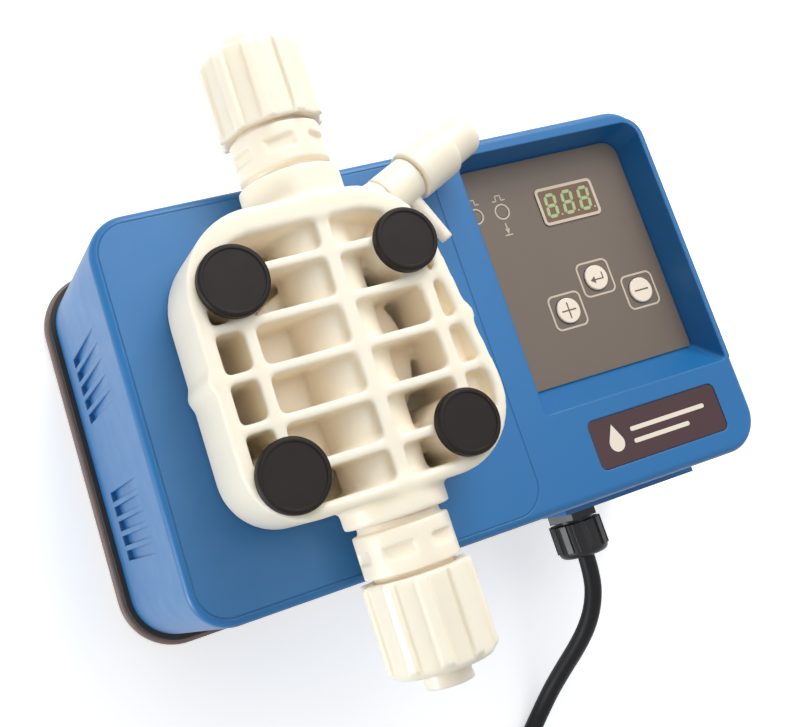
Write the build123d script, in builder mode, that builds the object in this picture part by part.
"""Wall-mounted solenoid dosing pump, modelled as separate pieces.

Millimetres. The origin is the centre of the wall plate's rear face, +Z points out of the
front, +Y towards the discharge valve and +X towards the control panel. The pump lies on
its wall plate at Z = 0, with the mains lead led down to the same surface.
"""
from build123d import *
import math
import os

os.makedirs("parts", exist_ok=True)

# ---- housing ----------------------------------------------------------------------
front_w = 208.0             # front face, along X
front_h = 128.0             # front face, along Y
front_z = 97.0              # height of the front face over the wall
front_r = 13.0              # corner radius of the front face
side_draft = 2.6            # degrees, walls spread towards the wall plate
wall = 3.0
front_edge_r = 2.6          # rounded front edge
plate_t = 5.0               # wall plate thickness
plate_margin = 3.9          # wall plate beyond the skirt, each side
gasket_t = 4.0              # black band between plate and housing
gasket_proud = 2.0          # the band stands out past the housing wall
gasket_w = 6.4
fit_gap = 0.15              # ordinary gap between seated pieces
skirt_z = plate_t + gasket_t
spread = math.tan(math.radians(side_draft))
skirt_w = front_w + 2 * spread * (front_z - skirt_z)
skirt_h = front_h + 2 * spread * (front_z - skirt_z)
skirt_r = front_r + spread * (front_z - skirt_z)
plate_w = skirt_w + 2 * plate_margin
plate_h = skirt_h + 2 * plate_margin
plate_r = skirt_r + plate_margin

# ---- flush panel behind the pump head ----------------------------------------------
panel_margin = 2.6          # blue border left of, above and below the panel
panel_right = 15.0          # X of its right seam
panel_t = 3.0
panel_r = 10.0
panel_gap = 0.05            # flush panel in its opening
panel_ledge = 5.0           # width of the ledge that carries it
panel_left = -front_w / 2 + panel_margin
panel_w = panel_right - panel_left
panel_h = front_h - 2 * panel_margin
panel_x = (panel_left + panel_right) / 2

# ---- control recess ----------------------------------------------------------------
floor_w, floor_h = 70.4, 81.6       # flat floor of the recess
floor_x, floor_y = 63.5, 15.6       # its centre
recess_depth = 12.0
recess_r, recess_low_r = 6.0, 1.5     # upper corners, lower corners
slope_left, slope_right = 2.2, 2.6  # how far each wall leans out over the depth
slope_top, slope_bottom = 2.4, 8.2
recess_wall = 2.4
floor_z = front_z - recess_depth
overlay_t, overlay_gap = 0.6, 0.3
window_w, window_h = 23.2, 12.9     # display window
window_x, window_y = floor_x + 7.1, floor_y + 21.6
window_t = 1.0
key_d = 9.2                         # round key
key_gap = 0.25
key_rise = 0.8                      # key above the overlay
key_lift = 0.5                      # key underside above the recess floor
key_stroke = 0.4
stem_d = 4.0
stem_l = 9.4
key_places = {
    "plus_key": (floor_x - 8.4, floor_y - 16.5),
    "enter_key": (floor_x + 7.1, floor_y - 7.8),
    "minus_key": (floor_x + 23.0, floor_y - 16.3),
}
lamp_d = 4.4                        # indicator lamps
lamp_places = [(floor_x - 30.4, floor_y + 24.1), (floor_x - 19.8, floor_y + 23.7)]
board_gap = 10.0                    # control board below the recess floor's underside
board_t = 1.6
board_w, board_h = 64.0, 62.0
board_post_dx, board_post_dy = 56.0, 42.0   # screw spacing of the control board
board_post_drop = 6.0
label_w, label_h, label_t = 52.7, 16.8, 0.8
label_x, label_y = 65.6, -47.8
label_depth = 1.0
label_r = 2.4

# ---- louvres on the two end walls ---------------------------------------------------
louvre_count = 5
louvre_pitch = 5.2
louvre_w = 3.4
louvre_depth = 2.1
louvre_z0, louvre_z1 = 26.0, 75.0
louvre_rows = [24.3, -25.2]         # Y of each group's centre

# ---- cable gland and lead -----------------------------------------------------------
gland_x, gland_z = 55.5, 40.0
boss_y = -69.0                      # flat face of the gland boss
boss_x0, boss_x1 = 42.0, 99.0
boss_z0, boss_z1 = 20.0, 60.0
gland_d = 15.2                      # thread of the gland
gland_hex = 17.6
gland_nut_d = 19.6
gland_end_y = -86.5                 # outer end of the gland nut
lead_d = 6.4
coil_turn_d = 12 * lead_d           # across the middle of the turns
coil_columns, coil_layers = 2, 3
tie_t, tie_w = 1.0, 12.0
coil_x, coil_y = -12.0, -220.6

# ---- pump head ----------------------------------------------------------------------
head_x, head_y = -46.0, -0.4        # centre of its four screws
head_left, head_right = -40.4, 41.1  # left wall and right wall, level with that centre
head_lean = 0.129                    # the right wall leans in by this much per millimetre up
head_top, head_bottom = 48.8, -41.3
head_depth = 33.0
head_draft = 0.4
head_corner_r = (18.0, 22.0, 24.0, 24.0)  # lower left, lower right, upper right, upper left
head_wall = 4.0
top_wall = 8.0              # extra thickness of the upper wall at its foot
shallow_cell = 6.0          # depth of the cells along the right wall
bump_r, bump_rise = 5.0, 1.3
bump_y = 2.5
tube_r = 13.0               # tube that joins the two ports
head_floor = 4.0
rib_t = 3.0
rib_rows = [30.6, 16.1, 1.7, -12.7, -27.1]
spine_t = 4.6
divider_t = 3.8
divider_left, divider_right = -26.2, 30.5
screw_dx, screw_dy = 27.2, 28.0
tower_d = 18.0
cap_left_d, cap_right_d = 21.2, 19.6
cap_lip, cap_dish = 1.5, 0.35
cap_t = 3.4
cap_plug_d = 10.4
screw_d = 5.0
screw_hole_d = 5.6
screw_head_d, screw_head_t = 8.5, 5.0
washer_d, washer_t = 10.0, 1.0
counterbore_d = 11.0
screw_seat = 8.0                    # seat of the screw head above the front face
valve_x = head_x + 4.6              # axis of both valves
valve_z = front_z + 16.5
port_d = 32.0                       # round shoulders at the two ports
port_top, port_bottom = 58.5, -47.5  # their end faces
port_bore_d = 20.4

# ---- valves and tube nuts -----------------------------------------------------------
neck_t = 2.2
neck_d = 25.0
collar_d, collar_l = 29.0, 12.6
collar_windows = 6
collar_window_w, collar_window_l, collar_window_depth = 9.4, 3.8, 1.6
thread_d, thread_l = 24.0, 15.0
plug_d, plug_l = 20.0, 14.0
seal_t = 1.5
nut_d, nut_l = 34.0, 27.0
nut_gap = 1.4                       # bare thread between collar and nut
nut_end_t = 6.0
nut_end_chamfer = 2.6
nut_ribs = 10
nut_rib_rise, nut_rib_w = 1.3, 3.4
thread_fit = 0.08
stub_d, stub_l = 14.4, 5.0
stub_bore_d = 6.4
stub_bore_l = 12.0
ball_d = 8.0
ball_gap = 0.3
ball_lift = 1.5
flow_d = 5.0

# ---- bleed valve --------------------------------------------------------------------
bleed_y = head_y + 33.6             # where its axis meets the valve axis
bleed_angle = 24.0
bleed_d = 14.4
bleed_start, bleed_end = 31.0, 43.8
bleed_knob_d, bleed_tip_d = 17.2, 14.4
bleed_step, bleed_stop = 59.5, 71.5
spout_at = 39.8
spout_d, spout_bore, spout_l = 4.6, 2.4, 23.0
stem_fit = 0.05                     # radial clearance of the bleed stem

# ---- drive --------------------------------------------------------------------------
bracket_w = 74.0
bracket_t = 8.0
membrane_d, membrane_t = 54.0, 2.0
chamber_d, chamber_depth = 42.0, 2.6
hub_d = 22.0
rod_d = 8.0
rod_fit = 0.06
stroke = 1.25
yoke_d, yoke_wall = 64.0, 4.0
yoke_z0 = 30.0
coil_d, coil_hole_d = 54.0, 27.4
core_d = 26.4
pole_t = 12.0
spring_od, spring_id = 13.0, 9.4

all_parts = []


def keep(builder, name):
    """Label a finished piece, write its STEP file and keep it for the closing summary."""
    builder.part.label = name
    export_step(builder.part, f"parts/{name}.step")
    all_parts.append(builder.part)


# =====================================================================================
# Wall plate, gasket, housing
# =====================================================================================
insert_dx, insert_dy = 60.0, 40.0   # wall fixing pattern, half spacings
insert_d, insert_bore = 6.4, 4.2
insert_l = 10.0
insert_boss_d = 13.0
insert_boss_h = 7.0
post_dx, post_dy = 92.0, 52.0       # housing screws, half spacings
post_d = 10.0
rear_screw_d, rear_screw_head = 4.0, 7.4
tongue_w, tongue_h = skirt_w + 2 * gasket_proud - 2 * gasket_w - 0.6, 2.4
tongue_height = skirt_h + 2 * gasket_proud - 2 * gasket_w - 0.6
tongue_r = skirt_r + gasket_proud - gasket_w - 0.3
power_board_x, power_board_y = 60.0, 2.0
power_board_w, power_board_h = 74.0, 84.0
power_post = 10.0

with BuildPart() as rear_plate:
    with BuildSketch():
        RectangleRounded(plate_w, plate_h, plate_r)
    extrude(amount=plate_t)
    rims = rear_plate.edges().filter_by(Plane.XY)
    fillet(rims, 1.6)
    with BuildSketch(Plane.XY.offset(plate_t)):
        RectangleRounded(tongue_w, tongue_height, tongue_r)
        RectangleRounded(
            tongue_w - 2 * tongue_h,
            tongue_height - 2 * tongue_h,
            tongue_r - tongue_h,
            mode=Mode.SUBTRACT,
        )
    extrude(amount=gasket_t + 2)
    with BuildSketch(Plane.XY.offset(plate_t)):
        with GridLocations(2 * insert_dx, 2 * insert_dy, 2, 2):
            Circle(insert_boss_d / 2)
    extrude(amount=insert_boss_h)
    with BuildSketch():
        with GridLocations(2 * insert_dx, 2 * insert_dy, 2, 2):
            Circle(insert_d / 2)
    extrude(amount=insert_l, mode=Mode.SUBTRACT)
    with BuildSketch():
        with GridLocations(2 * post_dx, 2 * post_dy, 2, 2):
            Circle(rear_screw_d / 2 + 0.2)
    extrude(amount=plate_t, mode=Mode.SUBTRACT)
    with BuildSketch():
        with GridLocations(2 * post_dx, 2 * post_dy, 2, 2):
            Circle(rear_screw_head / 2 + 0.3)
    extrude(amount=3, mode=Mode.SUBTRACT)
    with BuildSketch(Plane.XY.offset(plate_t)):
        with Locations((power_board_x, power_board_y)):
            with GridLocations(power_board_w - 8, power_board_h - 8, 2, 2):
                Circle(3.5)
    extrude(amount=power_post)
keep(rear_plate, "rear_plate")

with BuildPart() as wall_inserts:
    with BuildSketch():
        with GridLocations(2 * insert_dx, 2 * insert_dy, 2, 2):
            Circle(insert_d / 2)
            Circle(insert_bore / 2, mode=Mode.SUBTRACT)
    extrude(amount=insert_l)
keep(wall_inserts, "wall_inserts")

with BuildPart() as rear_gasket:
    with BuildSketch(Plane.XY.offset(plate_t)):
        RectangleRounded(skirt_w + 2 * gasket_proud, skirt_h + 2 * gasket_proud, skirt_r + gasket_proud)
        RectangleRounded(
            skirt_w + 2 * (gasket_proud - gasket_w),
            skirt_h + 2 * (gasket_proud - gasket_w),
            skirt_r + gasket_proud - gasket_w,
            mode=Mode.SUBTRACT,
        )
    extrude(amount=gasket_t)
keep(rear_gasket, "rear_gasket")


def recess_section(z, grow):
    """Outline of the control recess at height z, made larger by grow on every side."""
    rise = (z - floor_z) / recess_depth
    left = floor_x - floor_w / 2 - slope_left * rise - grow
    right = floor_x + floor_w / 2 + slope_right * rise + grow
    bottom = floor_y - floor_h / 2 - slope_bottom * rise - grow
    top = floor_y + floor_h / 2 + slope_top * rise + grow
    with BuildSketch(Plane.XY.offset(z)) as section:
        with Locations(((left + right) / 2, (top + bottom) / 2)):
            Rectangle(right - left, top - bottom)
        fillet(section.vertices().group_by(Axis.Y)[0], recess_low_r + grow)
        fillet(section.vertices().group_by(Axis.Y)[-1], recess_r + grow)
    return section.sketch


def wall_x(z):
    """Outer X of the end wall at height z."""
    return front_w / 2 + spread * (front_z - z)


with BuildPart() as housing_shell:
    with BuildSketch(Plane.XY.offset(skirt_z)):
        RectangleRounded(skirt_w, skirt_h, skirt_r)
    extrude(amount=front_z - skirt_z, taper=side_draft)
    front_rim = housing_shell.faces().sort_by(Axis.Z)[-1].edges()
    fillet(front_rim, front_edge_r)
    # gland boss on the lower wall
    boss_depth = -boss_y - front_h / 2
    with Locations(((boss_x0 + boss_x1) / 2, boss_y + boss_depth / 2, (boss_z0 + boss_z1) / 2)):
        Box(boss_x1 - boss_x0, boss_depth, boss_z1 - boss_z0)
    # inside
    with BuildSketch(Plane.XY.offset(skirt_z)):
        RectangleRounded(skirt_w - 2 * wall, skirt_h - 2 * wall, skirt_r - wall)
    extrude(amount=front_z - wall - skirt_z, taper=side_draft, mode=Mode.SUBTRACT)
    # ledge for the flush panel
    with BuildSketch(Plane.XY.offset(front_z - 2 * panel_t)):
        with Locations((panel_x, 0)):
            RectangleRounded(panel_w + 3.6, panel_h + 3.6, panel_r + 1.8)
    extrude(amount=panel_t)
    # housing screw posts
    with BuildSketch(Plane.XY.offset(plate_t + 0.2)):
        with GridLocations(2 * post_dx, 2 * post_dy, 2, 2):
            Circle(post_d / 2)
    extrude(amount=front_z - wall - plate_t - 0.2)
    for side in (-1, 1):
        with Locations((-post_dx - post_d / 2, side * post_dy, front_z - 16)):
            Box(post_d + 2, wall, 28)
    # recess for the controls
    loft([recess_section(floor_z - recess_wall, recess_wall), recess_section(front_z - 0.5, recess_wall)])
    loft([recess_section(floor_z, 0), recess_section(front_z, 0)], mode=Mode.SUBTRACT)
    add(extrude(recess_section(front_z, 0), amount=2, mode=Mode.PRIVATE), mode=Mode.SUBTRACT)
    # panel opening
    with BuildSketch(Plane.XY.offset(front_z - panel_t)):
        with Locations((panel_x, 0)):
            RectangleRounded(panel_w, panel_h, panel_r)
    extrude(amount=panel_t, mode=Mode.SUBTRACT)
    with BuildSketch(Plane.XY.offset(front_z - 2 * panel_t)):
        with Locations((panel_x, 0)):
            RectangleRounded(panel_w - 2 * panel_ledge, panel_h - 2 * panel_ledge, panel_r - 3)
    extrude(amount=panel_t, mode=Mode.SUBTRACT)
    # label recess
    with BuildSketch(Plane.XY.offset(front_z - label_depth)):
        with Locations((label_x, label_y)):
            RectangleRounded(label_w, label_h, label_r)
    extrude(amount=label_depth, mode=Mode.SUBTRACT)
    # openings in the recess floor
    with BuildSketch(Plane.XY.offset(floor_z - recess_wall)):
        with Locations((window_x, window_y)):
            Rectangle(window_w - 3, window_h - 3)
        with Locations(*key_places.values()):
            Circle(stem_d / 2 + 0.3)
        with Locations(*lamp_places):
            Circle(lamp_d / 2 + 0.15)
    extrude(amount=recess_wall, mode=Mode.SUBTRACT)
    # posts for the control board
    with BuildSketch(Plane.XY.offset(floor_z - recess_wall - board_gap)):
        with Locations((floor_x, floor_y - board_post_drop)):
            with GridLocations(board_post_dx, board_post_dy, 2, 2):
                Circle(3)
    extrude(amount=board_gap)
    # holes for the housing screws
    with BuildSketch(Plane.XY.offset(plate_t)):
        with GridLocations(2 * post_dx, 2 * post_dy, 2, 2):
            Circle(rear_screw_d / 2 + 0.05)
    extrude(amount=20, mode=Mode.SUBTRACT)
    # gland hole
    with Locations(Location((gland_x, boss_y + 6, gland_z), (90, 0, 0))):
        Cylinder(gland_d / 2 + 0.1, 20, mode=Mode.SUBTRACT)
    # louvres, deep at their rear end
    for side in (-1, 1):
        for group_y in louvre_rows:
            for step in range(louvre_count):
                louvre_y = group_y + (step - (louvre_count - 1) / 2) * louvre_pitch
                with BuildSketch(Plane.XZ.offset(-louvre_y)):
                    with BuildLine():
                        Polyline(
                            (side * wall_x(louvre_z1), louvre_z1),
                            (side * (wall_x(louvre_z0) + 2), louvre_z0),
                            (side * (wall_x(louvre_z0) - louvre_depth), louvre_z0),
                            close=True,
                        )
                    make_face()
                extrude(amount=louvre_w / 2, both=True, mode=Mode.SUBTRACT)
keep(housing_shell, "housing_shell")

with BuildPart() as head_panel:
    with BuildSketch(Plane.XY.offset(front_z - panel_t)):
        with Locations((panel_x, 0)):
            RectangleRounded(panel_w - 2 * panel_gap, panel_h - 2 * panel_gap, panel_r - panel_gap)
        with Locations((head_x, head_y)):
            Circle(membrane_d / 2 + 4, mode=Mode.SUBTRACT)
            with GridLocations(2 * screw_dx, 2 * screw_dy, 2, 2):
                Circle(screw_hole_d / 2, mode=Mode.SUBTRACT)
    extrude(amount=panel_t)
keep(head_panel, "head_panel")

with BuildPart() as rear_screws:
    with BuildSketch(Plane.XY.offset(3 - 2.6)):
        with GridLocations(2 * post_dx, 2 * post_dy, 2, 2):
            Circle(rear_screw_head / 2)
            RegularPolygon(1.6, 6, mode=Mode.SUBTRACT)
    extrude(amount=1.6)
    with BuildSketch(Plane.XY.offset(3 - 1.0)):
        with GridLocations(2 * post_dx, 2 * post_dy, 2, 2):
            Circle(rear_screw_head / 2)
    extrude(amount=1.0)
    with BuildSketch(Plane.XY.offset(3)):
        with GridLocations(2 * post_dx, 2 * post_dy, 2, 2):
            Circle(rear_screw_d / 2)
    extrude(amount=17)
keep(rear_screws, "rear_screws")

with BuildPart() as label_plate:
    with BuildSketch(Plane.XY.offset(front_z - label_depth)):
        with Locations((label_x, label_y)):
            RectangleRounded(label_w - 2 * fit_gap, label_h - 2 * fit_gap, label_r - fit_gap)
    extrude(amount=label_t)
keep(label_plate, "label_plate")

# =====================================================================================
# Controls
# =====================================================================================
board_top = floor_z - recess_wall - board_gap
overlay_top = floor_z + overlay_t

with BuildPart() as control_overlay:
    extrude(recess_section(floor_z, -overlay_gap), amount=overlay_t)
    with BuildSketch(Plane.XY.offset(floor_z)):
        with Locations((window_x, window_y)):
            RectangleRounded(window_w + 2 * fit_gap, window_h + 2 * fit_gap, 1.5 + fit_gap)
        with Locations(*key_places.values()):
            Circle(key_d / 2 + key_gap)
        with Locations(*lamp_places):
            Circle(lamp_d / 2 + 0.1)
    extrude(amount=overlay_t, mode=Mode.SUBTRACT)
keep(control_overlay, "control_overlay")

with BuildPart() as display_window:
    with BuildSketch(Plane.XY.offset(floor_z)):
        with Locations((window_x, window_y)):
            RectangleRounded(window_w, window_h, 1.5)
    extrude(amount=window_t)
keep(display_window, "display_window")

with BuildPart() as display_module:
    with BuildSketch(Plane.XY.offset(board_top)):
        with Locations((window_x, window_y)):
            Rectangle(window_w, window_h + 1)
    extrude(amount=board_gap - 0.4)
keep(display_module, "display_module")

for key_name, (key_x, key_y) in key_places.items():
    with BuildPart() as key:
        with BuildSketch(Plane.XY.offset(floor_z + key_lift)):
            with Locations((key_x, key_y)):
                Circle(key_d / 2)
        extrude(amount=overlay_t + key_rise - key_lift)
        chamfer(key.faces().sort_by(Axis.Z)[-1].edges(), 0.3)
        with BuildSketch(Plane.XY.offset(floor_z + key_lift)):
            with Locations((key_x, key_y)):
                Circle(stem_d / 2)
        extrude(amount=-stem_l)
    keep(key, key_name)

with BuildPart() as indicator_lamps:
    with BuildSketch(Plane.XY.offset(board_top)):
        with Locations(*lamp_places):
            Circle(lamp_d / 2)
    extrude(amount=overlay_top - board_top)
keep(indicator_lamps, "indicator_lamps")

with BuildPart() as control_board:
    with BuildSketch(Plane.XY.offset(board_top - board_t)):
        with Locations((floor_x, floor_y)):
            Rectangle(board_w, board_h)
        with Locations((floor_x, floor_y - board_post_drop)):
            with GridLocations(board_post_dx, board_post_dy, 2, 2):
                Circle(1.6, mode=Mode.SUBTRACT)
    extrude(amount=board_t)
keep(control_board, "control_board")

with BuildPart() as key_switches:
    with BuildSketch(Plane.XY.offset(board_top)):
        with Locations(*key_places.values()):
            Rectangle(6, 6)
    extrude(amount=floor_z + key_lift - stem_l - board_top - 0.6)
keep(key_switches, "key_switches")

with BuildPart() as power_board:
    with BuildSketch(Plane.XY.offset(plate_t + power_post)):
        with Locations((power_board_x, power_board_y)):
            Rectangle(power_board_w, power_board_h)
            with GridLocations(power_board_w - 8, power_board_h - 8, 2, 2):
                Circle(1.6, mode=Mode.SUBTRACT)
    extrude(amount=board_t)
keep(power_board, "power_board")

with BuildPart() as board_screws:
    with BuildSketch(Plane.XY.offset(board_top - board_t)):
        with Locations((floor_x, floor_y - board_post_drop)):
            with GridLocations(board_post_dx, board_post_dy, 2, 2):
                Circle(2.7)
    extrude(amount=-2)
    with BuildSketch(Plane.XY.offset(board_top - board_t)):
        with Locations((floor_x, floor_y - board_post_drop)):
            with GridLocations(board_post_dx, board_post_dy, 2, 2):
                Circle(1.5)
    extrude(amount=board_t)
    with BuildSketch(Plane.XY.offset(plate_t + power_post + board_t)):
        with Locations((power_board_x, power_board_y)):
            with GridLocations(power_board_w - 8, power_board_h - 8, 2, 2):
                Circle(2.7)
    extrude(amount=2)
    with BuildSketch(Plane.XY.offset(plate_t + power_post)):
        with Locations((power_board_x, power_board_y)):
            with GridLocations(power_board_w - 8, power_board_h - 8, 2, 2):
                Circle(1.5)
    extrude(amount=board_t)
keep(board_screws, "board_screws")

power_top = plate_t + power_post + board_t
with BuildPart() as transformer:
    with BuildSketch(Plane.XY.offset(power_top)):
        with Locations((power_board_x + 12, power_board_y + 18)):
            Rectangle(36, 34)
    extrude(amount=30)
keep(transformer, "transformer")

with BuildPart() as capacitors:
    with BuildSketch(Plane.XY.offset(power_top)):
        with Locations((power_board_x - 22, power_board_y + 24), (power_board_x - 22, power_board_y + 4)):
            Circle(8)
    extrude(amount=25)
keep(capacitors, "capacitors")

with BuildPart() as terminal_block:
    with BuildSketch(Plane.XY.offset(power_top)):
        with Locations((gland_x, power_board_y - power_board_h / 2 + 8)):
            Rectangle(24, 12)
    extrude(amount=14)
keep(terminal_block, "terminal_block")

with BuildPart() as ribbon_cable:
    with BuildSketch(Plane.XY.offset(power_top)):
        with Locations((power_board_x - 8, power_board_y - 14)):
            Rectangle(18, 0.8)
    extrude(amount=board_top - board_t - power_top)
keep(ribbon_cable, "ribbon_cable")

# =====================================================================================
# Pump head
# =====================================================================================
rim_z = front_z + head_depth
head_mid = (head_top + head_bottom) / 2
head_h = head_top - head_bottom
base_grow = head_depth * math.tan(math.radians(head_draft))


def head_side(row):
    """X of the leaning right wall at a height above the screw centre."""
    return head_right - head_lean * row


def head_outline(z, grow, top_drop=0.0):
    """Outline of the pump head at height z, made larger by grow, with its top edge lowered."""
    margin = base_grow * (rim_z - z) / head_depth + grow
    low, high = head_bottom - margin, head_top + margin - top_drop
    left = head_x + head_left - margin
    corners = [
        (left, head_y + low),
        (head_x + head_side(low) + margin, head_y + low),
        (head_x + head_side(high) + margin, head_y + high),
        (left, head_y + high),
    ]
    with BuildSketch(Plane.XY.offset(z)) as outline:
        with BuildLine():
            Polyline(corners, close=True)
        make_face()
        for corner, radius in zip(corners, head_corner_r):
            fillet(outline.vertices().sort_by_distance((*corner, 0))[0], radius + margin)
    return outline.sketch


def along_y(x, y, z, towards=1):
    """Plane at a point with its normal along +Y or -Y."""
    return Plane(origin=(x, y, z), x_dir=(1, 0, 0), z_dir=(0, towards, 0))


bleed_dir = Vector(math.cos(math.radians(bleed_angle)), math.sin(math.radians(bleed_angle)), 0)
spout_dir = Vector(bleed_dir.Y, -bleed_dir.X, 0)


def bleed_plane(distance):
    """Plane across the bleed valve's axis at a distance from the valve axis."""
    origin = Vector(valve_x, bleed_y, valve_z) + bleed_dir * distance
    return Plane(origin=origin, x_dir=(0, 0, 1), z_dir=bleed_dir)


floor_level = front_z + head_floor
divider_l = 2 * screw_dy - tower_d / 2
with BuildPart() as head_pocket:
    loft([head_outline(floor_level, -head_wall, top_wall), head_outline(rim_z, -head_wall, head_wall)])
    with Locations((head_x + divider_right + 10, head_y, floor_level)):
        block_h = head_depth - head_floor - shallow_cell
        Box(20, divider_l, block_h, align=(Align.CENTER, Align.CENTER, Align.MIN), mode=Mode.SUBTRACT)

with BuildPart() as pump_head:
    loft([head_outline(front_z, 0), head_outline(rim_z, 0)])
    # small bumps half way up the two side walls
    with BuildSketch(Plane.XY.offset(front_z)):
        with Locations(
            (head_x + head_left - bump_rise + bump_r, head_y + bump_y),
            (head_x + head_side(bump_y) + bump_rise - bump_r, head_y + bump_y),
        ):
            Circle(bump_r)
    extrude(amount=head_depth)
    fillet(pump_head.faces().sort_by(Axis.Z)[-1].edges(), 1.2)
    add(head_pocket.part, mode=Mode.SUBTRACT)
    cell_h = head_depth - head_floor - 0.8
    with BuildSketch(Plane.XY.offset(floor_level)):
        with Locations((head_x, head_y)):
            for row in rib_rows[1:4]:
                rib_left, rib_right = head_left + head_wall / 2, head_side(row) - head_wall / 2
                with Locations(((rib_left + rib_right) / 2, row)):
                    Rectangle(rib_right - rib_left, rib_t)
            for row in (rib_rows[0], rib_rows[4]):
                with Locations((0, row)):
                    Rectangle(2 * screw_dx - tower_d / 2, rib_t)
            with Locations((valve_x - head_x, head_mid)):
                Rectangle(spine_t, head_h - head_wall)
            with Locations((divider_left, 0), (divider_right, 0)):
                Rectangle(divider_t, divider_l)
    extrude(amount=cell_h)
    with BuildSketch(Plane.XY.offset(floor_level)):
        with Locations((head_x, head_y)):
            with GridLocations(2 * screw_dx, 2 * screw_dy, 2, 2):
                Circle(tower_d / 2)
    extrude(amount=rim_z - floor_level)
    # pumping chamber wall in the middle of the cells
    with BuildSketch(Plane.XY.offset(floor_level)):
        with Locations((head_x, head_y)):
            Circle(chamber_d / 2 + 6)
    extrude(amount=9)
    # valve tube and the round shoulders at the ports
    with BuildSketch(along_y(valve_x, head_y + head_bottom + 2, valve_z)):
        Circle(tube_r)
    extrude(amount=head_h - 4)
    with BuildSketch(along_y(valve_x, head_y + head_top - 4, valve_z)):
        Circle(port_d / 2)
    extrude(amount=port_top - head_top + 4)
    with BuildSketch(along_y(valve_x, head_y + head_bottom + 2, valve_z, -1)):
        Circle(port_d / 2)
    extrude(amount=head_bottom - port_bottom + 2)
    # barrel that carries the bleed valve
    with BuildSketch(bleed_plane(4)):
        Circle(bleed_d / 2)
    extrude(amount=bleed_start - 4)
    # spot face in the corner of the head where the bleed valve seats
    with BuildSketch(bleed_plane(bleed_start)):
        Circle(bleed_d / 2 + fit_gap)
    extrude(amount=bleed_end - bleed_start, mode=Mode.SUBTRACT)
    # ports, passages, chamber
    with BuildSketch(along_y(valve_x, head_y + port_top, valve_z)):
        Circle(port_bore_d / 2)
    extrude(amount=-plug_l - seal_t, mode=Mode.SUBTRACT)
    with BuildSketch(along_y(valve_x, head_y + port_bottom, valve_z, -1)):
        Circle(port_bore_d / 2)
    extrude(amount=-plug_l - seal_t, mode=Mode.SUBTRACT)
    with BuildSketch(along_y(valve_x, head_y + port_bottom, valve_z)):
        Circle(3)
    extrude(amount=port_top - port_bottom, mode=Mode.SUBTRACT)
    with BuildSketch(Plane.XY.offset(front_z)):
        with Locations((valve_x, head_y)):
            Circle(3)
    extrude(amount=valve_z - front_z, mode=Mode.SUBTRACT)
    with BuildSketch(Plane.XY.offset(front_z)):
        with Locations((head_x, head_y)):
            Circle(chamber_d / 2)
    extrude(amount=chamber_depth, mode=Mode.SUBTRACT)
    with BuildSketch(bleed_plane(0)):
        Circle(2)
    extrude(amount=bleed_start, mode=Mode.SUBTRACT)
    # screw holes with counterbores
    with BuildSketch(Plane.XY.offset(front_z)):
        with Locations((head_x, head_y)):
            with GridLocations(2 * screw_dx, 2 * screw_dy, 2, 2):
                Circle(screw_hole_d / 2)
    extrude(amount=head_depth, mode=Mode.SUBTRACT)
    with BuildSketch(Plane.XY.offset(front_z + screw_seat)):
        with Locations((head_x, head_y)):
            with GridLocations(2 * screw_dx, 2 * screw_dy, 2, 2):
                Circle(counterbore_d / 2)
    extrude(amount=head_depth, mode=Mode.SUBTRACT)
keep(pump_head, "pump_head")

def cap_discs(inset):
    """The four cap outlines, made smaller by inset."""
    for column, size in ((head_x - screw_dx, cap_left_d), (head_x + screw_dx, cap_right_d)):
        with Locations((column, head_y - screw_dy), (column, head_y + screw_dy)):
            Circle(size / 2 - inset)


with BuildPart() as screw_caps:
    with BuildSketch(Plane.XY.offset(rim_z)):
        cap_discs(0)
    extrude(amount=cap_t)
    fillet(screw_caps.faces().group_by(Axis.Z)[-1].edges(), 1.0)
    with BuildSketch(Plane.XY.offset(rim_z + cap_t)):
        cap_discs(cap_lip)
    extrude(amount=-cap_dish, mode=Mode.SUBTRACT)
    with BuildSketch(Plane.XY.offset(rim_z)):
        with Locations((head_x, head_y)):
            with GridLocations(2 * screw_dx, 2 * screw_dy, 2, 2):
                Circle(cap_plug_d / 2)
    extrude(amount=-6)
keep(screw_caps, "screw_caps")

screw_seat_z = front_z + screw_seat
with BuildPart() as head_washers:
    with BuildSketch(Plane.XY.offset(screw_seat_z)):
        with Locations((head_x, head_y)):
            with GridLocations(2 * screw_dx, 2 * screw_dy, 2, 2):
                Circle(washer_d / 2)
                Circle(screw_hole_d / 2, mode=Mode.SUBTRACT)
    extrude(amount=washer_t)
keep(head_washers, "head_washers")

with BuildPart() as head_screws:
    with BuildSketch(Plane.XY.offset(screw_seat_z + washer_t)):
        with Locations((head_x, head_y)):
            with GridLocations(2 * screw_dx, 2 * screw_dy, 2, 2):
                Circle(screw_head_d / 2)
    extrude(amount=screw_head_t)
    with BuildSketch(Plane.XY.offset(screw_seat_z + washer_t + screw_head_t)):
        with Locations((head_x, head_y)):
            with GridLocations(2 * screw_dx, 2 * screw_dy, 2, 2):
                RegularPolygon(2.3, 6)
    extrude(amount=-3, mode=Mode.SUBTRACT)
    with BuildSketch(Plane.XY.offset(screw_seat_z + washer_t)):
        with Locations((head_x, head_y)):
            with GridLocations(2 * screw_dx, 2 * screw_dy, 2, 2):
                Circle(screw_d / 2)
    extrude(amount=-(screw_seat + washer_t + panel_t + bracket_t - 1))
keep(head_screws, "head_screws")

# =====================================================================================
# Valves, one set at each port
# =====================================================================================


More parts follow.
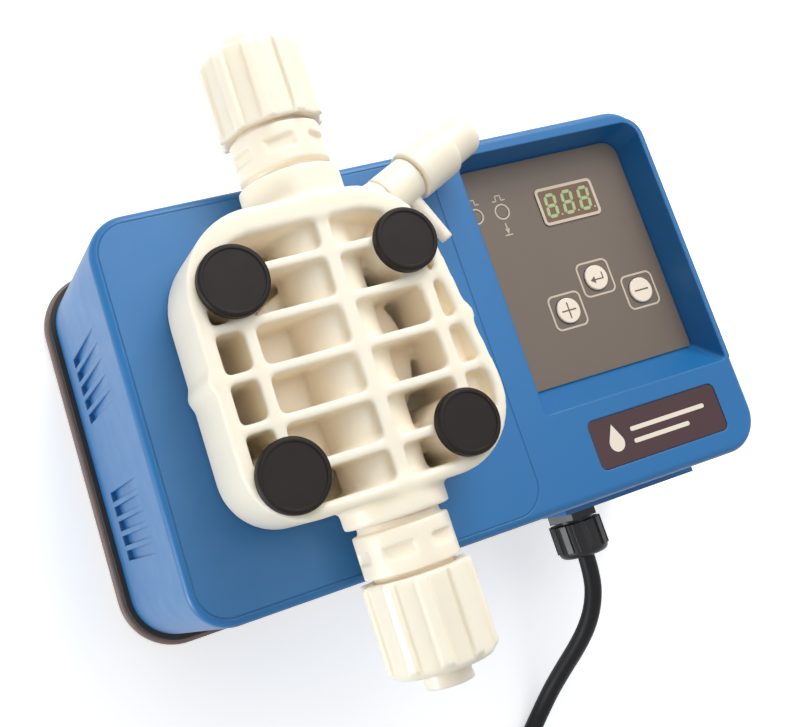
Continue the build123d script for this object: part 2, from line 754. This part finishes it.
def make_valve(prefix, port_y, towards, window_turn):
    """Valve body, ball, seal, tube nut and hose stub at one port of the head."""
    face = along_y(valve_x, port_y, valve_z, towards)
    chamber_l = ball_d + ball_lift + 1.0
    with BuildPart(face.offset(-plug_l)) as body:
        Cylinder(plug_d / 2, plug_l, align=(Align.CENTER, Align.CENTER, Align.MIN))
        with Locations((0, 0, plug_l)):
            Cylinder(neck_d / 2, neck_t, align=(Align.CENTER, Align.CENTER, Align.MIN))
        with Locations((0, 0, plug_l + neck_t)):
            Cylinder(collar_d / 2, collar_l, align=(Align.CENTER, Align.CENTER, Align.MIN))
        with Locations((0, 0, plug_l + neck_t + collar_l)):
            Cylinder(thread_d / 2, thread_l, align=(Align.CENTER, Align.CENTER, Align.MIN))
        # shallow windows round the collar
        with Locations(Location((0, 0, plug_l + neck_t + collar_l / 2), (0, 0, window_turn))):
            with PolarLocations(collar_d / 2, collar_windows):
                Box(2 * collar_window_depth, collar_window_w, collar_window_l, mode=Mode.SUBTRACT)
        # flow passage and ball chamber
        Cylinder(flow_d / 2, 60, align=(Align.CENTER, Align.CENTER, Align.MIN), mode=Mode.SUBTRACT)
        with Locations((0, 0, plug_l + neck_t)):
            Cylinder(
                ball_d / 2 + ball_gap,
                chamber_l,
                align=(Align.CENTER, Align.CENTER, Align.MIN),
                mode=Mode.SUBTRACT,
            )
    keep(body, f"{prefix}_valve_body")

    # the ball rests on the lower seat: the inner one above the head, the outer one below it
    rest = neck_t + ball_d / 2 + 0.2 if towards > 0 else neck_t + chamber_l - ball_d / 2 - 0.2
    with BuildPart(face.offset(rest)) as ball:
        Sphere(ball_d / 2)
    keep(ball, f"{prefix}_ball")

    with BuildPart(face.offset(-plug_l - seal_t)) as seal:
        Cylinder(plug_d / 2 - 0.3, seal_t, align=(Align.CENTER, Align.CENTER, Align.MIN))
        Cylinder(flow_d / 2, seal_t, align=(Align.CENTER, Align.CENTER, Align.MIN), mode=Mode.SUBTRACT)
    keep(seal, f"{prefix}_seal")

    nut_start = neck_t + collar_l + nut_gap
    flange_t = 3.0
    with BuildPart(face.offset(nut_start)) as nut:
        with BuildSketch(face.offset(nut_start)):
            Circle(nut_d / 2 - nut_rib_rise)
            with PolarLocations(nut_d / 2 - nut_rib_rise, nut_ribs):
                Rectangle(2 * nut_rib_rise, nut_rib_w)
        extrude(amount=nut_l)
        Cone(
            nut_d / 2 - nut_end_chamfer + nut_l,
            nut_d / 2 - nut_end_chamfer,
            nut_l,
            align=(Align.CENTER, Align.CENTER, Align.MIN),
            mode=Mode.INTERSECT,
        )
        Cylinder(
            thread_d / 2 + thread_fit,
            nut_l - nut_end_t,
            align=(Align.CENTER, Align.CENTER, Align.MIN),
            mode=Mode.SUBTRACT,
        )
        Cylinder(
            stub_d / 2 + thread_fit,
            nut_l,
            align=(Align.CENTER, Align.CENTER, Align.MIN),
            mode=Mode.SUBTRACT,
        )
    keep(nut, f"{prefix}_tube_nut")

    stub_start = nut_start + nut_l - nut_end_t - flange_t - 0.1
    with BuildPart(face.offset(stub_start)) as stub:
        Cylinder(thread_d / 2 - 0.4, flange_t, align=(Align.CENTER, Align.CENTER, Align.MIN))
        stub_total = flange_t + 0.1 + nut_end_t + stub_l
        Cylinder(stub_d / 2, stub_total, align=(Align.CENTER, Align.CENTER, Align.MIN))
        Cylinder(flow_d / 2, stub_total, align=(Align.CENTER, Align.CENTER, Align.MIN), mode=Mode.SUBTRACT)
        with Locations((0, 0, stub_total)):
            stub_align = (Align.CENTER, Align.CENTER, Align.MAX)
            Cylinder(stub_bore_d / 2, stub_bore_l, align=stub_align, mode=Mode.SUBTRACT)
    keep(stub, f"{prefix}_hose_stub")
    print(prefix, "stub end at y", round(port_y + towards * (stub_start + stub_total), 2))


make_valve("discharge", head_y + port_top, 1, 15)
make_valve("suction", head_y + port_bottom, -1, 0)


# =====================================================================================
# Bleed valve
# =====================================================================================
spout_root = Vector(valve_x, bleed_y, valve_z) + bleed_dir * spout_at
spout_plane = Plane(origin=spout_root, x_dir=(0, 0, 1), z_dir=spout_dir)
bleed_stem_d = 6.0
bleed_stem_l = 10.0

with BuildPart() as bleed_body:
    with BuildSketch(bleed_plane(bleed_start)):
        Circle(bleed_d / 2)
    extrude(amount=bleed_end - bleed_start)
    with BuildSketch(spout_plane):
        Circle(spout_d / 2)
    extrude(amount=spout_l, taper=0.5)
    fillet(bleed_body.faces().sort_by(Axis(origin=(0, 0, 0), direction=spout_dir))[-1].edges(), 0.7)
    with BuildSketch(bleed_plane(bleed_start)):
        Circle(2)
    extrude(amount=bleed_end - bleed_start, mode=Mode.SUBTRACT)
    with BuildSketch(bleed_plane(bleed_end)):
        Circle(bleed_stem_d / 2 + stem_fit)
    extrude(amount=-bleed_stem_l, mode=Mode.SUBTRACT)
    with BuildSketch(spout_plane.offset(bleed_stem_d / 2 + 1)):
        Circle(spout_bore / 2)
    extrude(amount=spout_l, mode=Mode.SUBTRACT)
keep(bleed_body, "bleed_body")

knob_start = bleed_end + 0.3
with BuildPart() as bleed_knob:
    with BuildSketch(bleed_plane(knob_start)):
        Circle(bleed_knob_d / 2)
    extrude(amount=bleed_step - knob_start)
    fillet(bleed_knob.edges().filter_by(GeomType.CIRCLE), 0.8)
    with BuildSketch(bleed_plane(bleed_step - 1)):
        Circle(bleed_tip_d / 2)
    extrude(amount=bleed_stop - bleed_step + 1)
    fillet(bleed_knob.faces().sort_by(Axis(origin=(0, 0, 0), direction=bleed_dir))[-1].edges(), 3)
    with BuildSketch(bleed_plane(knob_start)):
        Circle(bleed_stem_d / 2)
    extrude(amount=-(bleed_stem_l - 0.6))
keep(bleed_knob, "bleed_knob")

# =====================================================================================
# Diaphragm and solenoid drive
# =====================================================================================
bracket_top = front_z - panel_t
bracket_z = bracket_top - bracket_t
yoke_top = bracket_z
pole_z = yoke_top - pole_t
core_top = pole_z - stroke - 0.3
core_z = yoke_z0 + yoke_wall + 6
hub_t = 1.6

with BuildPart() as head_bracket:
    with BuildSketch(Plane.XY.offset(bracket_z)):
        with Locations((head_x, head_y)):
            RectangleRounded(bracket_w, bracket_w, 8)
    extrude(amount=bracket_t)
    with BuildSketch(Plane.XY.offset(bracket_top)):
        with Locations((head_x, head_y)):
            Circle(membrane_d / 2 + 3.7)
    extrude(amount=panel_t)
    with BuildSketch(Plane.XY.offset(front_z - membrane_t)):
        with Locations((head_x, head_y)):
            Circle(membrane_d / 2 + fit_gap)
    extrude(amount=membrane_t, mode=Mode.SUBTRACT)
    with BuildSketch(Plane.XY.offset(front_z - membrane_t - hub_t - 2.4)):
        with Locations((head_x, head_y)):
            Circle(chamber_d / 2)
    extrude(amount=membrane_t + hub_t + 2.4, mode=Mode.SUBTRACT)
    with BuildSketch(Plane.XY.offset(bracket_z)):
        with Locations((head_x, head_y)):
            Circle(rod_d / 2 + rod_fit)
    extrude(amount=bracket_t + panel_t, mode=Mode.SUBTRACT)
    with BuildSketch(Plane.XY.offset(bracket_top)):
        with Locations((head_x, head_y)):
            with GridLocations(2 * screw_dx, 2 * screw_dy, 2, 2):
                Circle(screw_d / 2 + 0.05)
    extrude(amount=-bracket_t, mode=Mode.SUBTRACT)
keep(head_bracket, "head_bracket")

with BuildPart() as diaphragm:
    with BuildSketch(Plane.XY.offset(front_z - membrane_t)):
        with Locations((head_x, head_y)):
            Circle(membrane_d / 2)
    extrude(amount=membrane_t)
    with BuildSketch(Plane.XY.offset(front_z - 0.8)):
        with Locations((head_x, head_y)):
            Circle(chamber_d / 2 - 0.8)
            Circle(hub_d / 2, mode=Mode.SUBTRACT)
    extrude(amount=0.8, mode=Mode.SUBTRACT)
keep(diaphragm, "diaphragm")

rod_top = front_z - membrane_t - 0.1
with BuildPart() as push_rod:
    with BuildSketch(Plane.XY.offset(rod_top - hub_t)):
        with Locations((head_x, head_y)):
            Circle(hub_d / 2)
    extrude(amount=hub_t)
    with BuildSketch(Plane.XY.offset(core_top)):
        with Locations((head_x, head_y)):
            Circle(rod_d / 2)
    extrude(amount=rod_top - hub_t - core_top)
keep(push_rod, "push_rod")

with BuildPart() as magnet_core:
    with BuildSketch(Plane.XY.offset(core_z)):
        with Locations((head_x, head_y)):
            Circle(core_d / 2)
    extrude(amount=core_top - core_z)
    chamfer(magnet_core.edges().filter_by(GeomType.CIRCLE), 0.8)
keep(magnet_core, "magnet_core")

with BuildPart() as front_pole:
    with BuildSketch(Plane.XY.offset(pole_z)):
        with Locations((head_x, head_y)):
            Circle(yoke_d / 2 - yoke_wall)
            Circle(rod_d / 2 + rod_fit, mode=Mode.SUBTRACT)
    extrude(amount=pole_t)
    with BuildSketch(Plane.XY.offset(pole_z)):
        with Locations((head_x, head_y)):
            Circle(spring_od / 2 + 0.5)
    extrude(amount=pole_t - 4, mode=Mode.SUBTRACT)
keep(front_pole, "front_pole")

with BuildPart() as return_spring:
    with BuildSketch(Plane.XY.offset(core_top)):
        with Locations((head_x, head_y)):
            Circle(spring_od / 2)
            Circle(spring_id / 2, mode=Mode.SUBTRACT)
    extrude(amount=pole_z + pole_t - 4 - core_top)
keep(return_spring, "return_spring")

with BuildPart() as solenoid_coil:
    with BuildSketch(Plane.XY.offset(yoke_z0 + yoke_wall)):
        with Locations((head_x, head_y)):
            Circle(coil_d / 2)
            Circle(coil_hole_d / 2, mode=Mode.SUBTRACT)
    extrude(amount=pole_z - yoke_z0 - yoke_wall)
keep(solenoid_coil, "solenoid_coil")

with BuildPart() as solenoid_yoke:
    with BuildSketch(Plane.XY.offset(yoke_z0)):
        with Locations((head_x, head_y)):
            Circle(yoke_d / 2)
    extrude(amount=yoke_top - yoke_z0)
    with BuildSketch(Plane.XY.offset(yoke_z0 + yoke_wall)):
        with Locations((head_x, head_y)):
            Circle(yoke_d / 2 - yoke_wall)
    extrude(amount=yoke_top - yoke_z0 - yoke_wall, mode=Mode.SUBTRACT)
    with Locations((head_x + yoke_d / 2, head_y, yoke_z0 + yoke_wall + 6)):
        Box(3 * yoke_wall, 12, 8, mode=Mode.SUBTRACT)
keep(solenoid_yoke, "solenoid_yoke")

# =====================================================================================
# Cable gland, mains lead, plug
# =====================================================================================
gland_flange_t = 3.6
gland_step = 1.2                    # bare neck between flange and nut
gland_neck_d = 14.4
gland_inner = 9.0
gland_nut_end = 4.0
gland_nut_start = boss_y - gland_flange_t - gland_step
gland_nut_l = gland_nut_start - gland_end_y
lead_gap = 0.15


def gland_plane(y):
    """Plane across the gland's axis at a given Y, with its normal leaving the housing."""
    return along_y(gland_x, y, gland_z, -1)


with BuildPart() as gland_body:
    with BuildSketch(gland_plane(boss_y)):
        RegularPolygon(gland_hex / 2, 6, major_radius=False)
    extrude(amount=gland_flange_t)
    with BuildSketch(gland_plane(boss_y)):
        Circle(gland_neck_d / 2)
    extrude(amount=gland_flange_t + gland_step + gland_nut_l - gland_nut_end)
    with BuildSketch(gland_plane(boss_y)):
        Circle(gland_d / 2)
    extrude(amount=-12)
    with BuildSketch(gland_plane(boss_y + 12)):
        Circle(gland_inner / 2)
    extrude(amount=40, mode=Mode.SUBTRACT)
keep(gland_body, "gland_body")

locknut_t, locknut_w = 2.6, 19.0
locknut_y = -skirt_h / 2 + wall + spread * (gland_z + locknut_w / 2 - skirt_z) + 0.05
with BuildPart() as gland_locknut:
    with BuildSketch(gland_plane(locknut_y + locknut_t)):
        RegularPolygon(locknut_w / 2, 6, major_radius=False)
        Circle(gland_d / 2 + 0.05, mode=Mode.SUBTRACT)
    extrude(amount=locknut_t)
keep(gland_locknut, "gland_locknut")

with BuildPart() as gland_seal:
    with BuildSketch(gland_plane(boss_y + 6)):
        Circle(gland_inner / 2)
        Circle(lead_d / 2, mode=Mode.SUBTRACT)
    extrude(amount=boss_y + 6 - gland_end_y - gland_nut_end)
keep(gland_seal, "gland_seal")

gland_nut_round = 2.4
with BuildPart() as gland_nut:
    with BuildSketch(gland_plane(gland_nut_start)):
        Circle(gland_nut_d / 2 - 0.5)
    extrude(amount=gland_nut_l)
    fillet(gland_nut.edges().sort_by(Axis.Y)[0], gland_nut_round)
    with BuildSketch(gland_plane(gland_nut_start)):
        with PolarLocations(gland_nut_d / 2 - 0.8, 12):
            Rectangle(1.6, 2.6)
    extrude(amount=gland_nut_l - gland_nut_round)
    with BuildSketch(gland_plane(gland_nut_start)):
        Circle(gland_neck_d / 2 + 0.05)
    extrude(amount=gland_nut_l - gland_nut_end, mode=Mode.SUBTRACT)
    with BuildSketch(gland_plane(gland_nut_start)):
        Circle(lead_d / 2 + lead_gap)
    extrude(amount=gland_nut_l, mode=Mode.SUBTRACT)
keep(gland_nut, "gland_nut")

with BuildPart() as inner_lead:
    with BuildSketch(gland_plane(gland_end_y)):
        Circle(lead_d / 2)
    extrude(amount=-(power_board_y - power_board_h / 2 + 1 - gland_end_y))
keep(inner_lead, "inner_lead")

# route of the free lead: out of the gland, down to the surface, then to the coil
floor_height = lead_d / 2 + 0.05
coil_r = coil_turn_d / 2
coil_z = tie_t + 0.1
lead_route = [
    (gland_x, gland_end_y, gland_z),
    (55.2, -94.4, 40.0),
    (53.1, -102.9, 38.7),
    (49.6, -111.2, 34.9),
    (45.6, -118.9, 27.8),
    (41.8, -126.2, 19.0),
    (37.5, -133.8, 11.0),
    (31.2, -142.4, 5.8),
    (22.3, -151.8, floor_height),
    (10.4, -161.4, floor_height),
    (-3.4, -170.9, floor_height),
    (coil_x - 5.5, coil_y + coil_r + 4.6, floor_height),
]


def lead_radii(route):
    """Radius of the arc at each inner point of a route."""
    points = [Vector(*p) for p in route]
    radii = []
    for before, here, after in zip(points, points[1:], points[2:]):
        turn = (here - before).get_angle(after - here)
        short = min((here - before).length, (after - here).length)
        radii.append(0.45 * short / math.tan(math.radians(turn) / 2))
    return radii


def make_lead(name, route):
    """Round lead along straight runs joined by tangent arcs."""
    radii = lead_radii(route)
    print(name, "radii", [round(r, 1) for r in radii])
    with BuildPart() as lead:
        with BuildLine() as path:
            FilletPolyline(*route, radius=radii)
        wire = path.wire()
        with BuildSketch(Plane(origin=wire @ 0, z_dir=wire % 0)):
            Circle(lead_d / 2)
        sweep(path=wire)
    section = math.pi * lead_d**2 / 4
    ratio = lead.part.volume / section / wire.length
    print(name, "length", round(wire.length, 1), "volume ratio", round(ratio, 4))
    keep(lead, name)


make_lead("power_cord", lead_route)

with BuildPart() as cord_coil:
    with BuildSketch(Plane.XZ.offset(-coil_y)):
        with Locations((coil_x + coil_r, coil_z + coil_layers * lead_d / 2)):
            RectangleRounded(coil_columns * lead_d, coil_layers * lead_d, lead_d / 2 - 0.1)
    revolve(axis=Axis((coil_x, coil_y, 0), (0, 0, 1)))
keep(cord_coil, "cord_coil")

with BuildPart() as cord_ties:
    for side in (-1, 1):
        with Locations((coil_x + side * coil_r, coil_y, coil_z + coil_layers * lead_d / 2)):
            Box(coil_columns * lead_d + 2 * tie_t + 0.2, tie_w, coil_layers * lead_d + 2 * tie_t)
    with BuildSketch(Plane.XZ.offset(-coil_y)):
        with Locations((coil_x + coil_r, coil_z + coil_layers * lead_d / 2)):
            RectangleRounded(coil_columns * lead_d + 0.1, coil_layers * lead_d, lead_d / 2 - 0.1)
    revolve(axis=Axis((coil_x, coil_y, 0), (0, 0, 1)), mode=Mode.SUBTRACT)
keep(cord_ties, "cord_ties")

# earthed round plug beside the coil, lying on its wide front collar
plug_relief_l, plug_grip_l, plug_collar_l = 22.0, 26.0, 9.0
plug_relief_r0, plug_relief_r1 = 4.6, 6.2
plug_grip_r0, plug_grip_r1 = 11.0, 14.0
plug_collar_r = 18.4
pin_r, pin_l, pin_spacing = 2.4, 19.0, 19.0
plug_x = coil_x + 48.0
plug_y = coil_y - coil_r - lead_d / 2 - 3.0
plug_z = plug_collar_r + 0.1
tail_y = coil_y - coil_r - lead_d / 2
tail_z = coil_z + (coil_layers - 0.5) * lead_d
tail_route = [
    (coil_x + 6.0, tail_y, tail_z),
    (coil_x + 17.0, tail_y - 0.7, tail_z + 0.2),
    (coil_x + 28.0, tail_y - 2.1, tail_z + 0.8),
    (coil_x + 38.0, plug_y, plug_z - 0.1),
    (plug_x, plug_y, plug_z),
]
make_lead("cord_tail", tail_route)
plug_end_plane = Plane(origin=(plug_x, plug_y, plug_z), x_dir=(0, 1, 0), z_dir=(1, 0, 0))

grip_x = plug_x + plug_relief_l
collar_x = grip_x + plug_grip_l
face_x = collar_x + plug_collar_l
with BuildPart() as plug_body:
    with BuildSketch(Plane.XZ.offset(-plug_y)):
        with BuildLine():
            Polyline(
                (plug_x, plug_z),
                (plug_x, plug_z + plug_relief_r0),
                (grip_x, plug_z + plug_relief_r1),
                (grip_x + 1.5, plug_z + plug_grip_r0),
                (collar_x, plug_z + plug_grip_r1),
                (collar_x + 2, plug_z + plug_collar_r),
                (face_x, plug_z + plug_collar_r),
                (face_x, plug_z),
                close=True,
            )
        make_face()
    revolve(axis=Axis((plug_x, plug_y, plug_z), (1, 0, 0)))
    for side in (-1, 1):
        with Locations((face_x - 3, plug_y, plug_z + side * plug_collar_r)):
            Box(12, 6, 5, mode=Mode.SUBTRACT)
keep(plug_body, "plug_body")

with BuildPart() as plug_pins:
    with BuildSketch(plug_end_plane.offset(face_x - plug_x)):
        with Locations((-pin_spacing / 2, 0), (pin_spacing / 2, 0)):
            Circle(pin_r)
    extrude(amount=pin_l)
    chamfer(plug_pins.faces().group_by(Axis.X)[-1].edges(), 0.9)
keep(plug_pins, "plug_pins")
